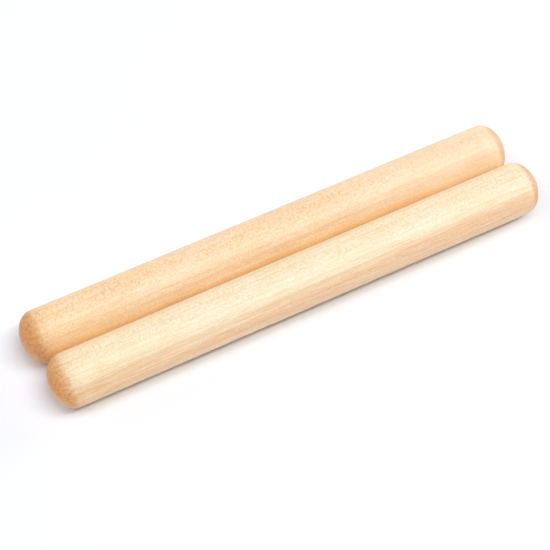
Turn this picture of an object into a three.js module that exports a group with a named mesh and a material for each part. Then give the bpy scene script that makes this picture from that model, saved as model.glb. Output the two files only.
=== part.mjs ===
// A pair of claves: two plain round sticks of solid maple with domed ends, lying side by side.
// Millimetres, +Z up. The sticks lie along X and rest on the surface at Z = 0.
import * as THREE from 'three';

// Driving dimensions
const stickLength = 200;
const stickDiameter = 20.7;
const domeDepth = 7.2; // how much of each end the rounding takes up
const endStagger = 2.2; // how far the striker clave sits towards +X of the struck clave
const restGap = 0.3; // clear space between the sticks where they lie together

// How finely the round shapes are cut
const sidesAround = 48; // a multiple of four, so that a flat side faces down and each way across
const stepsPerDome = 6;

// Worked out from the dimensions above
const stickRadius = stickDiameter / 2;
const axisSpacing = stickDiameter + restGap;
const halfSide = Math.PI / sidesAround; // half the angle that one flat side covers
const cornerRadius = stickRadius / Math.cos(halfSide); // so that the flats lie at the stick's radius

// Outline of one stick from its lower tip to its upper tip: each dome is half of an ellipse.
function stickOutline() {
  const domeBase = stickLength / 2 - domeDepth;
  const outline = [];
  for (let step = 0; step <= stepsPerDome; step++) {
    const angle = (step / stepsPerDome) * Math.PI / 2;
    const radius = step === 0 ? 0 : cornerRadius * Math.sin(angle);
    outline.push(new THREE.Vector2(radius, -domeBase - domeDepth * Math.cos(angle)));
  }
  for (let step = stepsPerDome; step >= 0; step--) {
    const lower = outline[step];
    outline.push(new THREE.Vector2(lower.x, -lower.y));
  }
  return outline;
}

// One solid stick, turned on its axis and laid along X.
function makeClave(name, material) {
  const shape = new THREE.LatheGeometry(stickOutline(), sidesAround, halfSide);
  const clave = new THREE.Mesh(shape, material);
  clave.name = name;
  clave.rotation.z = -Math.PI / 2; // the turning axis goes from Y to X
  clave.position.z = stickRadius;
  return clave;
}

const paleMaple = new THREE.MeshStandardMaterial({
  color: 0xf6dfbc,
  roughness: 0.55,
  metalness: 0,
});

const warmMaple = new THREE.MeshStandardMaterial({
  color: 0xf3d5a6,
  roughness: 0.55,
  metalness: 0,
});

// The struck clave is the one that lies still in the cupped hand.
const struckClave = makeClave('struck_clave', warmMaple);
struckClave.position.x = -endStagger / 2;
struckClave.position.y = axisSpacing / 2;

// The striker clave is the one that is lifted and tapped against it.
const strikerClave = makeClave('striker_clave', paleMaple);
strikerClave.position.x = endStagger / 2;
strikerClave.position.y = -axisSpacing / 2;

const claves = new THREE.Group();
claves.add(struckClave);
claves.add(strikerClave);

export default claves;
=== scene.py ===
import bpy
import bmesh
import math
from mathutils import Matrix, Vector, noise


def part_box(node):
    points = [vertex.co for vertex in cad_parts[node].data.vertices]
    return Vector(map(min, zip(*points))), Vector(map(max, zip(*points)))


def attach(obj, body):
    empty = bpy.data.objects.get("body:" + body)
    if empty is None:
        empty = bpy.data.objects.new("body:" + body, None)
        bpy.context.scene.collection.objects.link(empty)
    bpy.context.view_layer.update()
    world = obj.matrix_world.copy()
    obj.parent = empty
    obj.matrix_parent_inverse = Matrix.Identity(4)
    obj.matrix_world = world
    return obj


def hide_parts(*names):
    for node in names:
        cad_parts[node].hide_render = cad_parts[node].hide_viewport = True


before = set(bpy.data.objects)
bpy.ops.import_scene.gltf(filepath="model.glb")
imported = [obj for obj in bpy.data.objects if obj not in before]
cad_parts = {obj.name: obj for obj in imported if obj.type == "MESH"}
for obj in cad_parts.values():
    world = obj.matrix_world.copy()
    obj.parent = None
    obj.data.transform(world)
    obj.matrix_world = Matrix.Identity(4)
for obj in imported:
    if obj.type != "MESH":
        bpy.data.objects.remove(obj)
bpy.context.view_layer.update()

# Two loose sticks of turned maple lying side by side along X. Metres, +Z up, the floor at zero.
mm = 0.001


def addNode(tree, kind, **settings):
    node = tree.nodes.new("ShaderNode" + kind)
    for name, value in settings.items():
        setattr(node, name, value)
    return node


def feed(tree, socket, value):
    # a value is another node's output or a plain number or colour
    if isinstance(value, bpy.types.NodeSocket):
        tree.links.new(value, socket)
    else:
        socket.default_value = value


def doMath(tree, operation, first, second=0.0, third=0.0, clamp=False):
    node = addNode(tree, "Math", operation=operation, use_clamp=clamp)
    for socket, value in zip(node.inputs, (first, second, third)):
        feed(tree, socket, value)
    return node.outputs[0]


def times(tree, first, second):
    return doMath(tree, "MULTIPLY", first, second)


def timesPlus(tree, value, factor, extra):
    return doMath(tree, "MULTIPLY_ADD", value, factor, extra)


def doVector(tree, operation, first, second=(0, 0, 0)):
    node = addNode(tree, "VectorMath", operation=operation)
    feed(tree, node.inputs[0], first)
    feed(tree, node.inputs[1], second)
    return node.outputs["Value" if operation == "LENGTH" else "Vector"]


def joinXyz(tree, x, y, z):
    node = addNode(tree, "CombineXYZ")
    for socket, value in zip(node.inputs, (x, y, z)):
        feed(tree, socket, value)
    return node.outputs[0]


def makeNoise(tree, where, detail=2.0, roughness=0.5, distortion=0.0):
    node = addNode(tree, "TexNoise", noise_dimensions="3D")
    feed(tree, node.inputs["Vector"], where)
    node.inputs["Scale"].default_value = 1.0
    node.inputs["Detail"].default_value = detail
    node.inputs["Roughness"].default_value = roughness
    node.inputs["Distortion"].default_value = distortion
    return node.outputs["Fac"]


def remap(tree, value, fromLow, fromHigh, toLow=0.0, toHigh=1.0):
    node = addNode(tree, "MapRange", interpolation_type="SMOOTHSTEP")
    for name, number in (("Value", value), ("From Min", fromLow), ("From Max", fromHigh),
                         ("To Min", toLow), ("To Max", toHigh)):
        feed(tree, node.inputs[name], number)
    return node.outputs[0]


def blendColour(tree, amount, below, above, mode="MIX"):
    node = addNode(tree, "Mix", data_type="RGBA", blend_type=mode)
    feed(tree, node.inputs[0], amount)
    feed(tree, node.inputs[6], below)
    feed(tree, node.inputs[7], above)
    return node.outputs[2]


maple = {
    "ringSpacing": 1.9 * mm,       # from one year's growth to the next
    "ringDrift": 0.6 * mm,         # how far a ring wanders from a true circle
    "pithDistance": 75 * mm,       # from the stick's axis to the middle of the tree
    "fleckAlong": 0.70 * mm,       # a ray fleck's height along the fibres
    "fleckAcross": 0.36 * mm,      # its thickness round the rings
    "fleckDeep": 1.7 * mm,         # its length out from the middle of the tree
    "fleckFrom": 7.4 * mm,         # from here out to fleckTo the surface comes to lie along the rays:
    "fleckTo": 9.8 * mm,           # the flecks are a touch stronger there and the fibres calmer
    "fibreWidth": 0.33 * mm,
    "fibreLength": 8 * mm,
    "streakWidth": 0.75 * mm,      # sparse streaks along the grain, darker and paler
    "streakLength": 45 * mm,
    "speckSize": 3.2 * mm,         # spacing of the cells that may hold one dark speck
    "speckStretch": 0.35,          # the width of a cell as a share of its length along the grain
    "reliefDepth": 0.03 * mm,
    "reliefStrength": 0.35,
    "refraction": 1.5,
    # painted shade: the underside is darker and warmer, to deepen the shade where the stick meets the floor
    "paintedUnderShadeTint": (0.97, 0.78, 0.62, 1),
    "poreColour": (0.40, 0.17, 0.05, 1),
    "speckColour": (0.30, 0.16, 0.08, 1),
}

# noise cells per metre: along the fibres, then both ways across them
cells = {"wander": (22, 90, 90), "clouds": (45, 180, 180), "pores": (450, 1100, 1100), "unevenYears": 420}

# where a layer starts to show and where it shows in full; a falling pair picks out the low values
band = {
    "clouds": (0.32, 0.68), "years": (0.0, 1.0),
    "lateRise": (0.45, 0.96), "lateFall": (0.985, 0.96),
    "flecks": (0.50, 0.66), "paleFlecks": (0.46, 0.34),
    "streaks": (0.56, 0.66), "paleStreaks": (0.44, 0.34),
    "fibres": (0.50, 0.66), "paleFibres": (0.48, 0.34),
    "pores": (0.46, 0.66), "speck": (0.10, 0.05),
    "paintedBounceEdge": (0.35, -0.05), "paintedBounceEdgeEnd": (-0.45, -0.80),
    "rightEnd": (0.15, 0.60), "paintedUnderShade": (-0.55, -0.85),
    "paintedLightRight": (10 * mm, 95 * mm), "paintedShadeLeft": (-30 * mm, -90 * mm),
}

# how strongly a layer shows
strength = {
    "years": 0.40, "ringAndShadeBand": 0.9, "lateWood": 0.65, "flecks": 0.80, "paleFlecks": 0.40,
    "paleFibres": 0.38, "pores": 0.45, "speck": 0.55, "fleckRelief": -0.35,
}

# a strength that follows another layer: the change where that layer is full, and the strength without it
follows = {
    "lateByYear": (0.7, 0.3), "flecksByZone": (0.1, 0.9),
    "streaksByZone": (-0.22, 0.52), "paleStreaksByZone": (-0.17, 0.42), "fibresByZone": (-0.34, 0.74),
    "leftEndByPaintedBounceEdge": (-0.38, 1.0), "paintedShadeLeftByRing": (0.6, 0.4), "dullnessByFibres": (0.16, 0.40),
}

yearShift = 1.3              # how many years' width the uneven years may add
yearNoiseAt = (3.1, 1.7)     # the line through the noise that the uneven years are read along
rayWander = 0.35             # how much of the rings' wandering the rays share
speckRarity = 0.93           # a cell holds a speck when its own number is above this
rightPores = 0.3             # how much the pores show on the right end, against the left
endDullness = 0.10
fleckSheen = -0.05


def makeMaple(name, clave):
    # Solid maple, worked out in the round: x runs with the fibres, y out from the pith, z round the rings.
    material = bpy.data.materials.new(name)
    material.use_nodes = True
    tree = material.node_tree
    shader = tree.nodes["Principled BSDF"]

    coordinates = addNode(tree, "TexCoord")
    placing = addNode(tree, "Mapping", vector_type="TEXTURE")
    placing.inputs["Location"].default_value = clave["centre"]
    placing.inputs["Rotation"].default_value = clave["grainTurn"]
    tree.links.new(coordinates.outputs["Object"], placing.inputs["Vector"])
    shift = doVector(tree, "ADD", placing.outputs[0], clave["grainShift"])
    apart = addNode(tree, "SeparateXYZ")
    tree.links.new(placing.outputs[0], apart.inputs[0])
    along, outward, sideways = apart.outputs

    # slow wandering of the fibres, shared by the rings and, in part, by the rays
    slow = makeNoise(tree, doVector(tree, "MULTIPLY", shift, cells["wander"]), detail=2.0)
    wander = timesPlus(tree, slow, 2 * maple["ringDrift"], -maple["ringDrift"])

    # growth rings, each year with its own tone
    fromPith = doVector(tree, "LENGTH", joinXyz(
        tree, 0.0, doMath(tree, "ADD", outward, maple["pithDistance"]), sideways))
    depth = doMath(tree, "ADD", doMath(tree, "SUBTRACT", fromPith, maple["pithDistance"]), wander)
    unevenYears = makeNoise(tree, joinXyz(
        tree, yearNoiseAt[0], times(tree, depth, cells["unevenYears"]), yearNoiseAt[1]), detail=1.0)
    years = timesPlus(tree, unevenYears, yearShift, doMath(tree, "DIVIDE", depth, maple["ringSpacing"]))
    yearPart = doMath(tree, "FRACT", years)
    oneYear = addNode(tree, "TexWhiteNoise", noise_dimensions="1D")
    tree.links.new(doMath(tree, "FLOOR", years), oneYear.inputs["W"])
    yearTone = oneYear.outputs["Value"]
    lateWood = times(tree, remap(tree, yearPart, *band["lateRise"]), remap(tree, yearPart, *band["lateFall"]))
    lateWood = times(tree, lateWood, timesPlus(tree, yearTone, *follows["lateByYear"]))

    # one broad darker band on the side nearest the pith, partly the wood's own tone and partly painted shade:
    # it lies along the seam where the sticks touch and along the front stick's lower side
    ringAndShadeBand = remap(tree, depth, -clave["darkFrom"], -clave["darkTo"])

    # ray flecks: thin plates standing out from the pith
    rayAcross = timesPlus(tree, wander, rayWander, sideways)
    rayWhere = joinXyz(tree, doMath(tree, "DIVIDE", along, maple["fleckAlong"]),
                       doMath(tree, "DIVIDE", outward, maple["fleckDeep"]),
                       doMath(tree, "DIVIDE", rayAcross, maple["fleckAcross"]))
    rays = makeNoise(tree, doVector(tree, "ADD", rayWhere, clave["grainShift"]), detail=1.5, distortion=0.25)
    fleckZone = remap(tree, doMath(tree, "ABSOLUTE", sideways), maple["fleckFrom"], maple["fleckTo"])
    fleckShow = timesPlus(tree, fleckZone, *follows["flecksByZone"])
    flecks = times(tree, remap(tree, rays, *band["flecks"]), fleckShow)
    paleFlecks = times(tree, remap(tree, rays, *band["paleFlecks"]), fleckShow)

    # fibres and long streaks
    fibreWhere = joinXyz(tree, doMath(tree, "DIVIDE", along, maple["fibreLength"]),
                         doMath(tree, "DIVIDE", depth, maple["fibreWidth"]),
                         doMath(tree, "DIVIDE", sideways, maple["fibreWidth"]))
    fibreWhere = doVector(tree, "ADD", fibreWhere, clave["grainShift"])
    fibres = makeNoise(tree, fibreWhere, detail=2.5, roughness=0.6)
    streakWhere = joinXyz(tree, doMath(tree, "DIVIDE", along, maple["streakLength"]),
                          doMath(tree, "DIVIDE", depth, maple["streakWidth"]),
                          doMath(tree, "DIVIDE", sideways, maple["streakWidth"] * 2))
    streaks = makeNoise(tree, doVector(tree, "ADD", streakWhere, clave["grainShift"]), detail=1.5)
    clouds = makeNoise(tree, doVector(tree, "MULTIPLY", shift, cells["clouds"]), detail=3.0)

    # a few dark specks
    speckCells = (maple["speckStretch"] / maple["speckSize"], 1 / maple["speckSize"], 1 / maple["speckSize"])
    specks = addNode(tree, "TexVoronoi", feature="F1")
    tree.links.new(doVector(tree, "MULTIPLY", shift, speckCells), specks.inputs["Vector"])
    speckNumber = addNode(tree, "SeparateColor")
    tree.links.new(specks.outputs["Color"], speckNumber.inputs[0])
    speck = times(tree, remap(tree, specks.outputs["Distance"], *band["speck"]),
                  doMath(tree, "GREATER_THAN", speckNumber.outputs[0], speckRarity))

    # end grain shows where the surface turns across the fibres, with open pores
    facing = addNode(tree, "SeparateXYZ")
    tree.links.new(coordinates.outputs["Normal"], facing.inputs[0])
    leftward = doMath(tree, "MULTIPLY", facing.outputs[0], -1 / clave["leftEndFull"], clamp=True)
    leftEnd = doMath(tree, "POWER", leftward, clave["leftEndRise"])
    # painted light: the lower edge of the left end stays paler, standing in for light bounced up from the
    # floor
    paintedBounceEdge = times(tree, remap(tree, facing.outputs[2], *band["paintedBounceEdge"]),
                    remap(tree, facing.outputs[0], *band["paintedBounceEdgeEnd"]))
    leftEnd = times(tree, leftEnd, timesPlus(tree, paintedBounceEdge, *follows["leftEndByPaintedBounceEdge"]))
    rightEnd = remap(tree, facing.outputs[0], *band["rightEnd"])
    endGrain = doMath(tree, "MAXIMUM", leftEnd, rightEnd)
    pores = makeNoise(tree, doVector(tree, "MULTIPLY", shift, cells["pores"]), detail=3.0)
    poreDark = times(tree, remap(tree, pores, *band["pores"]), timesPlus(tree, rightEnd, rightPores, leftEnd))

    # colour, from the slow changes to the fine ones and then the tints of whole parts, some of them painted
    # light and shade
    colour = blendColour(tree, remap(tree, clouds, *band["clouds"]), clave["pale"], clave["warm"])
    amount = times(tree, remap(tree, yearTone, *band["years"]), strength["years"])
    colour = blendColour(tree, amount, colour, clave["warm"])
    colour = blendColour(tree, times(tree, ringAndShadeBand, strength["ringAndShadeBand"]), colour, clave["ringAndShadeColour"])
    colour = blendColour(tree, times(tree, lateWood, strength["lateWood"]), colour, clave["late"])
    for layer, kind, above, mode in ((streaks, "streaks", "fibreTint", "MULTIPLY"),
                                     (streaks, "paleStreaks", "palest", "MIX"),
                                     (fibres, "fibres", "fibreTint", "MULTIPLY")):
        byZone = timesPlus(tree, fleckZone, *follows[kind + "ByZone"])
        amount = times(tree, remap(tree, layer, *band[kind]), byZone)
        colour = blendColour(tree, amount, colour, clave[above], mode)
    amount = times(tree, remap(tree, fibres, *band["paleFibres"]), strength["paleFibres"])
    colour = blendColour(tree, amount, colour, clave["palest"])
    colour = blendColour(tree, times(tree, flecks, strength["flecks"]), colour, clave["fleck"])
    colour = blendColour(tree, times(tree, paleFlecks, strength["paleFlecks"]), colour, clave["palest"])
    colour = blendColour(tree, fleckZone, colour, clave["fleckZoneTint"], "MULTIPLY")
    # painted light: the stick pales towards its right end, where more light falls
    paintedLightRight = times(tree, remap(tree, along, *band["paintedLightRight"]), clave["rightPaintedLight"])
    colour = blendColour(tree, paintedLightRight, colour, clave["palest"])
    # painted shade: the left part is darkened and warmed, most along the darker band
    paintedShadeLeft = times(tree, remap(tree, along, *band["paintedShadeLeft"]),
                     timesPlus(tree, ringAndShadeBand, *follows["paintedShadeLeftByRing"]))
    colour = blendColour(tree, paintedShadeLeft, colour, clave["leftShadeTint"], "MULTIPLY")
    # painted shade on the underside, which also darkens the floor under the stick's edge
    paintedUnderShade = remap(tree, facing.outputs[2], *band["paintedUnderShade"])
    colour = blendColour(tree, paintedUnderShade, colour, maple["paintedUnderShadeTint"], "MULTIPLY")
    colour = blendColour(tree, leftEnd, colour, clave["leftTint"], "MULTIPLY")
    colour = blendColour(tree, rightEnd, colour, clave["rightTint"], "MULTIPLY")
    colour = blendColour(tree, times(tree, poreDark, strength["pores"]), colour, maple["poreColour"])
    colour = blendColour(tree, times(tree, speck, strength["speck"]), colour, maple["speckColour"])
    tree.links.new(colour, shader.inputs["Base Color"])

    # sheen: sanded smooth, a little duller on the end grain and in the fibres, less so on the flecks
    dullness = timesPlus(tree, fibres, *follows["dullnessByFibres"])
    dullness = timesPlus(tree, endGrain, endDullness, dullness)
    dullness = timesPlus(tree, flecks, fleckSheen, dullness)
    tree.links.new(dullness, shader.inputs["Roughness"])
    shader.inputs["IOR"].default_value = maple["refraction"]

    # the surface: raised fibres, with the flecks a little lower
    relief = timesPlus(tree, flecks, strength["fleckRelief"], fibres)
    bump = addNode(tree, "Bump")
    bump.inputs["Strength"].default_value = maple["reliefStrength"]
    bump.inputs["Distance"].default_value = maple["reliefDepth"]
    tree.links.new(relief, bump.inputs["Height"])
    tree.links.new(bump.outputs[0], shader.inputs["Normal"])
    return material


turning = {
    "sidesAround": 144,
    "domeDepth": 7.2 * mm,         # the same rounding as on the frame's sticks
    "domeSteps": 22,
    "sideSteps": 60,
    "sandingWave": 0.035 * mm,     # the most that hand sanding takes off the true round
    "waveAlong": 45,               # noise cells per metre
    "waveAcross": 120,
    "weldWithin": 0.001 * mm,
    "axisWithin": 0.1 * mm,        # a point nearer to the axis than this is left where it is
}


def turnStick(name, clave):
    # Half of the outline is spun about the stick's axis.
    low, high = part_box(clave["node"])
    centre = (low + high) / 2
    clave["centre"] = centre
    radius = (high.z - low.z) / 2
    halfLength = (high.x - low.x) / 2
    domeBase = halfLength - turning["domeDepth"]
    outline = []
    for step in range(turning["domeSteps"] + 1):
        angle = step / turning["domeSteps"] * math.pi / 2
        outline.append((-domeBase - turning["domeDepth"] * math.cos(angle), radius * math.sin(angle)))
    for step in range(1, turning["sideSteps"]):
        outline.append((domeBase * (2 * step / turning["sideSteps"] - 1), radius))
    for x, distance in reversed(outline[:turning["domeSteps"] + 1]):
        outline.append((-x, distance))

    shape = bmesh.new()
    points = [shape.verts.new((x, 0, distance)) for x, distance in outline]
    for first, second in zip(points, points[1:]):
        shape.edges.new((first, second))
    bmesh.ops.spin(shape, geom=shape.verts[:] + shape.edges[:], cent=(0, 0, 0), axis=(1, 0, 0),
                   angle=2 * math.pi, steps=turning["sidesAround"], use_merge=True)
    bmesh.ops.remove_doubles(shape, verts=shape.verts[:], dist=turning["weldWithin"])
    bmesh.ops.recalc_face_normals(shape, faces=shape.faces[:])
    for vert in shape.verts:
        across = Vector((0, vert.co.y, vert.co.z))
        if across.length > turning["axisWithin"]:
            where = Vector((vert.co.x * turning["waveAlong"], vert.co.y * turning["waveAcross"],
                            vert.co.z * turning["waveAcross"]))
            wave = -0.5 + 0.5 * noise.noise(where + clave["sandingShift"])    # always inwards, from -1 to 0
            vert.co += across.normalized() * wave * turning["sandingWave"] * across.length / radius
    bmesh.ops.translate(shape, vec=centre, verts=shape.verts[:])
    for face in shape.faces:
        face.smooth = True

    mesh = bpy.data.meshes.new(name)
    shape.to_mesh(mesh)
    shape.free()
    stick = bpy.data.objects.new(name, mesh)
    bpy.context.scene.collection.objects.link(stick)
    mesh.materials.append(makeMaple(name + "_maple", clave))
    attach(stick, clave["body"])
    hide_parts(clave["node"])
    print("turned", name, len(mesh.vertices), "points")


struckClave = {
    "node": "struck_clave", "body": "struck_stick", "slot": "warm_maple",
    "grainTurn": (math.radians(-12), math.radians(0.3), math.radians(0.4)),
    "grainShift": (0.31, 0.12, 0.45),
    "sandingShift": Vector((1.3, 4.1, 2.2)),
    "pale": (0.94, 0.71, 0.475, 1), "warm": (0.94, 0.655, 0.375, 1), "late": (0.91, 0.545, 0.28, 1),
    "fleck": (0.81, 0.55, 0.28, 1), "palest": (0.97, 0.785, 0.575, 1), "ringAndShadeColour": (0.98, 0.645, 0.275, 1),
    "fleckZoneTint": (0.98, 1, 1, 1), "fibreTint": (0.97, 0.86, 0.75, 1),
    # painted shade towards the left end
    "leftShadeTint": (1, 0.92, 0.71, 1),
    # painted light towards the right end
    "rightPaintedLight": 0.35,
    "darkFrom": 8.9 * mm, "darkTo": 10.6 * mm,
    "leftEndFull": 0.60, "leftEndRise": 0.42,
    "leftTint": (0.755, 0.495, 0.295, 1), "rightTint": (0.78, 0.69, 0.58, 1),
}
turnStick("struck_clave_wood", struckClave)

strikerClave = {
    "node": "striker_clave", "body": "striker_stick", "slot": "pale_maple",
    "grainTurn": (math.radians(-14), math.radians(-0.2), math.radians(0.25)),
    "grainShift": (0.87, 0.54, 0.21),
    "sandingShift": Vector((7.7, 0.4, 5.9)),
    "pale": (0.935, 0.80, 0.57, 1), "warm": (0.935, 0.755, 0.48, 1), "late": (0.84, 0.575, 0.35, 1),
    "fleck": (0.83, 0.655, 0.38, 1), "palest": (0.97, 0.85, 0.67, 1), "ringAndShadeColour": (0.88, 0.515, 0.26, 1),
    "fleckZoneTint": (0.985, 1, 1, 1), "fibreTint": (0.90, 0.80, 0.72, 1),
    "leftShadeTint": (0.98, 0.94, 0.84, 1),
    "rightPaintedLight": 0.0,
    "darkFrom": 8.2 * mm, "darkTo": 10.3 * mm,
    "leftEndFull": 0.85, "leftEndRise": 0.53,
    "leftTint": (0.79, 0.43, 0.175, 1), "rightTint": (0.80, 0.605, 0.51, 1),
}
turnStick("striker_clave_wood", strikerClave)


white = (1, 1, 1)
coolWhite = (0.92, 0.95, 1)

studio = {
    "floorRadius": 1.4,
    "floorSides": 128,
    "floorRoughness": 0.85,
    "floorSheen": 0.2,
    "floorColour": (0.90, 0.91, 0.94, 1),
    "farGlowFrom": 0.35,           # the far floor glows faintly, as the lamps don't reach it
    "farGlowTo": 1.2,
    "farGlow": 0.55,
    "airColour": (0.19, 0.187, 0.217, 1),    # overhead; it pales to a white horizon
    "horizonColour": (1, 1, 1, 1),
    "horizonFrom": 0.15,           # sine of the height angle where the white horizon starts to fade
    "horizonTo": 0.36,
    "lampDistance": 2.2,
    # name, colour, compass angle and height angle in degrees, watts, size in metres, shift along X
    "lamps": (("strip", white, 0, 71, 22.7, (1.6, 0.22), 0.69),
              ("top", white, 0, 86, 13.9, (1.6, 0.6), 0.45),
              ("left", coolWhite, 270, 60, 8.4, (1.1, 1.1), 0.0),
              ("behind", coolWhite, 225, 35, 8.6, (1.1, 1.1), 0.0),
              ("right", white, 97, 16, 11.0, (1.1, 1.1), 0.0)),
}


def layFloor():
    shape = bmesh.new()
    bmesh.ops.create_circle(shape, cap_ends=True, segments=studio["floorSides"], radius=studio["floorRadius"])
    mesh = bpy.data.meshes.new("floor")
    shape.to_mesh(mesh)
    shape.free()
    floor = bpy.data.objects.new("floor", mesh)
    bpy.context.scene.collection.objects.link(floor)
    paint = bpy.data.materials.new("white_floor")
    paint.use_nodes = True
    shader = paint.node_tree.nodes["Principled BSDF"]
    shader.inputs["Base Color"].default_value = studio["floorColour"]
    shader.inputs["Roughness"].default_value = studio["floorRoughness"]
    shader.inputs["Specular IOR Level"].default_value = studio["floorSheen"]
    shader.inputs["Emission Color"].default_value = studio["horizonColour"]
    fromMiddle = doVector(paint.node_tree, "LENGTH", addNode(paint.node_tree, "TexCoord").outputs["Object"])
    feed(paint.node_tree, shader.inputs["Emission Strength"], remap(
        paint.node_tree, fromMiddle, studio["farGlowFrom"], studio["farGlowTo"], 0.0, studio["farGlow"]))
    mesh.materials.append(paint)


def outFrom(side, up):
    # the way out from the sticks at a compass angle and a height angle; side 0 is -Y and 90 is +X
    return Vector((math.sin(side) * math.cos(up), -math.cos(side) * math.cos(up), math.sin(up)))


def hangLamp(name, colour, side, up, power, size, shift):
    lamp = bpy.data.lights.new(name, "AREA")
    lamp.shape = "RECTANGLE"
    lamp.size, lamp.size_y = size
    lamp.energy = power
    lamp.color = colour
    light = bpy.data.objects.new(name, lamp)
    way = outFrom(math.radians(side), math.radians(up))
    light.location = way * studio["lampDistance"] + Vector((shift, 0, 0))
    light.rotation_euler = (-way).to_track_quat("-Z", "Y").to_euler()
    bpy.context.scene.collection.objects.link(light)


def setWorld():
    world = bpy.data.worlds.new("studio_air")
    world.use_nodes = True
    tree = world.node_tree
    background = tree.nodes["Background"]
    direction = addNode(tree, "SeparateXYZ")
    tree.links.new(addNode(tree, "NewGeometry").outputs["Incoming"], direction.inputs[0])
    height = doMath(tree, "ABSOLUTE", direction.outputs[2])
    overhead = remap(tree, height, studio["horizonFrom"], studio["horizonTo"])
    feed(tree, background.inputs["Color"], blendColour(
        tree, overhead, studio["horizonColour"], studio["airColour"]))
    background.inputs["Strength"].default_value = 1.0
    bpy.context.scene.world = world


camera = {
    "azimuth": math.radians(-26.5),
    "elevation": math.radians(58.4),
    "distance": 0.568,
    "lens": 100.4,                 # and the sensor, in millimetres
    "sensor": 36,
    "target": Vector((-6.4 * mm, -3.9 * mm, 10.35 * mm)),
}


def placeCamera():
    back = outFrom(camera["azimuth"], camera["elevation"])
    lens = bpy.data.cameras.new("camera")
    lens.lens = camera["lens"]
    lens.sensor_width = camera["sensor"]
    viewer = bpy.data.objects.new("camera", lens)
    viewer.location = camera["target"] + back * camera["distance"]
    viewer.rotation_euler = (-back).to_track_quat("-Z", "Y").to_euler()
    bpy.context.scene.collection.objects.link(viewer)
    bpy.context.scene.camera = viewer


layFloor()
setWorld()
for lamp in studio["lamps"]:
    hangLamp(*lamp)
placeCamera()
bpy.context.scene.view_settings.view_transform = "Standard"
print("floor, light and camera are set")
